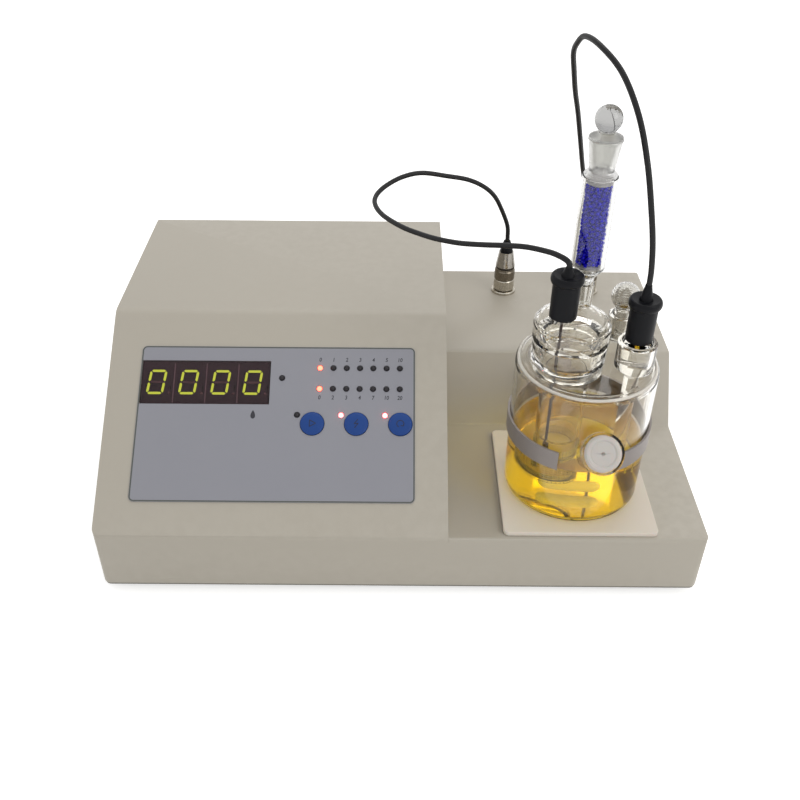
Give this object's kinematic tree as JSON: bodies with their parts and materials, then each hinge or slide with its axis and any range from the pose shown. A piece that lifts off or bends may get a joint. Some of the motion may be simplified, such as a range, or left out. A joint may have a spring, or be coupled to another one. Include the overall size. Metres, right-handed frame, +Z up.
{
  "type": "coulometric moisture meter",
  "caption": "Bench moisture meter: sloped control console beside a low platform that carries a glass titration cell with electrodes and a drying tube.",
  "frame": {"origin": "middle of the housing's footprint, at bench level under the rubber feet", "axes": "+Z up, +Y from the front to the back, +X to the right as seen by the user"},
  "size_m": [0.35, 0.2634, 0.2913],
  "materials": {
    "housing_paint": "fine-textured warm grey paint",
    "foot_rubber": "matt",
    "screw_steel": "zinc-plated",
    "panel_print": "satin blue-grey film with a thin dark border",
    "display_tint": "dark brown-red filter",
    "digit_body": "dark face with white segments",
    "board_green": "solder resist",
    "lamp_dark": "unlit lamp",
    "lamp_amber": "lit lamp",
    "lamp_red": "lit lamp",
    "core_steel": "varnished laminations",
    "winding_copper": "enamelled copper under tape",
    "motor_steel": "plated",
    "carrier_plastic": "moulded",
    "magnet_nickel": "nickel-plated",
    "black_plastic": "moulded",
    "key_blue": "satin moulded key",
    "nickel": "satin nickel plate",
    "pad_white": "white plastic sheet",
    "clip_metal": "matt strip",
    "cell_glass": "clear blown glass",
    "reagent": "clear amber liquid",
    "septum_white": "white silicone",
    "stir_white": "fluoropolymer jacket",
    "frit": "porous plate",
    "platinum": "bright wire and mesh",
    "cap_black": "moulded cap",
    "stem_dark": "sheathed wire",
    "lead_black": "smooth jacket",
    "gel_blue": "blue indicating beads",
    "cotton": "loose wool"
  },
  "bodies": {
    "housing": {"upper_shell": "housing_paint", "base_plate": "housing_paint", "rear_panel": "housing_paint", "rubber_feet": "foot_rubber", "housing_screws": "screw_steel", "panel_film": "panel_print", "display_filter": "display_tint", "digit_modules": "digit_body", "display_board": "board_green", "dark_lamps": "lamp_dark", "amber_lamps": "lamp_amber", "red_lamps": "lamp_red", "standoffs": "screw_steel", "main_board": "board_green", "transformer_core": "core_steel", "transformer_winding": "winding_copper", "stirrer_motor": "motor_steel", "motor_bracket": "motor_steel", "mains_inlet": "black_plastic", "switch_frame": "black_plastic", "speed_control": "motor_steel", "panel_sockets": "nickel", "vessel_pad": "pad_white", "vessel_clip": "clip_metal", "clip_bracket": "clip_metal", "clip_fasteners": "screw_steel"},
    "stirrer_drive": {"magnet_carrier": "carrier_plastic", "drive_magnets": "magnet_nickel"},
    "fuse_tray": {"fuse_drawer": "black_plastic"},
    "rocker": {"power_rocker": "black_plastic"},
    "knob": {"speed_knob": "black_plastic"},
    "start_key": {"key_start": "key_blue"},
    "electrolysis_key": {"key_electrolysis": "key_blue"},
    "stir_key": {"key_stir": "key_blue"},
    "vessel": {"reaction_vessel": "cell_glass", "electrolyte": "reagent"},
    "septum": {"injection_septum": "septum_white"},
    "stirrer_bar": {"stir_bar": "stir_white"},
    "chamber": {"cathode_chamber": "cell_glass", "catholyte": "reagent", "diaphragm": "frit", "anode_mesh": "platinum"},
    "electrolysis_electrode": {"electrolysis_cap": "cap_black", "electrolysis_stem": "stem_dark", "electrolysis_lead": "lead_black", "electrolysis_plug": "nickel", "electrolysis_boot": "cap_black"},
    "electrolysis_coupling": {"electrolysis_ring": "nickel"},
    "dryer": {"drying_tube": "cell_glass", "silica_gel": "gel_blue", "cotton_plugs": "cotton"},
    "dryer_stopper": {"drying_tube_stopper": "cell_glass"},
    "measuring_electrode": {"measuring_cap": "cap_black", "measuring_stem": "cell_glass", "measuring_pins": "platinum", "measuring_lead": "lead_black", "measuring_plug": "nickel", "measuring_boot": "cap_black"},
    "measuring_coupling": {"measuring_ring": "nickel"},
    "neck_stopper": {"port_stopper": "cell_glass"}
  },
  "joints": [
    {"name": "vessel_lift", "type": "slide", "parent": "housing", "child": "vessel", "axis": [0, 0, 1], "range_m": [0, 0.06]},
    {"name": "chamber_lift", "type": "slide", "parent": "vessel", "child": "chamber", "axis": [0, 0, 1], "range_m": [0, 0.09]},
    {"name": "electrolysis_electrode_lift", "type": "slide", "parent": "chamber", "child": "electrolysis_electrode", "axis": [0, 0, 1], "range_m": [0, 0.116]},
    {"name": "drying_tube_lift", "type": "slide", "parent": "chamber", "child": "dryer", "axis": [0, 0, 1], "range_m": [0, 0.03]},
    {"name": "drying_stopper_lift", "type": "slide", "parent": "dryer", "child": "dryer_stopper", "axis": [0, 0, 1], "range_m": [0, 0.03]},
    {"name": "measuring_electrode_lift", "type": "slide", "parent": "vessel", "child": "measuring_electrode", "axis": [0, 0, 1], "range_m": [0, 0.09]},
    {"name": "neck_stopper_lift", "type": "slide", "parent": "vessel", "child": "neck_stopper", "axis": [0, 0, 1], "range_m": [0, 0.03]},
    {"name": "septum_pull", "type": "slide", "parent": "vessel", "child": "septum", "axis": [0, -0.809, 0.5878], "range_m": [0, 0.012]},
    {"name": "drive_spin", "type": "hinge", "parent": "housing", "child": "stirrer_drive", "pos_m": [0.1016, -0.071, 0.034], "axis": [0, 0, 1], "continuous": true},
    {"name": "stir_bar_spin", "type": "hinge", "parent": "vessel", "child": "stirrer_bar", "pos_m": [0.1016, -0.071, 0.0548], "axis": [0, 0, 1], "continuous": true},
    {"name": "start_press", "type": "slide", "parent": "housing", "child": "start_key", "axis": [0, 0.5662, -0.8243], "range_m": [0, 0.0008], "stiffness_N_per_m": 300},
    {"name": "electrolysis_press", "type": "slide", "parent": "housing", "child": "electrolysis_key", "axis": [0, 0.5662, -0.8243], "range_m": [0, 0.0008], "stiffness_N_per_m": 300},
    {"name": "stir_press", "type": "slide", "parent": "housing", "child": "stir_key", "axis": [0, 0.5662, -0.8243], "range_m": [0, 0.0008], "stiffness_N_per_m": 300},
    {"name": "rocker_tilt", "type": "hinge", "parent": "housing", "child": "rocker", "pos_m": [-0.085, 0.1185, 0.042], "axis": [0, 0, 1], "range_deg": [0, 16]},
    {"name": "fuse_drawer_slide", "type": "slide", "parent": "housing", "child": "fuse_tray", "axis": [0, 1, 0], "range_m": [0, 0.02]},
    {"name": "speed_turn", "type": "hinge", "parent": "housing", "child": "knob", "pos_m": [0.065, 0.1265, 0.044], "axis": [0, 1, 0], "range_deg": [-135, 135]},
    {"name": "electrolysis_ring_turn", "type": "hinge", "parent": "electrolysis_electrode", "child": "electrolysis_coupling", "pos_m": [0.073, 0.091, 0.088], "axis": [0, 0, 1], "continuous": true},
    {"name": "measuring_ring_turn", "type": "hinge", "parent": "measuring_electrode", "child": "measuring_coupling", "pos_m": [0.132, 0.091, 0.088], "axis": [0, 0, 1], "continuous": true}
  ],
  "couplings": [
    {"joint": "stir_bar_spin", "follows": "drive_spin", "ratio": 1}
  ]
}
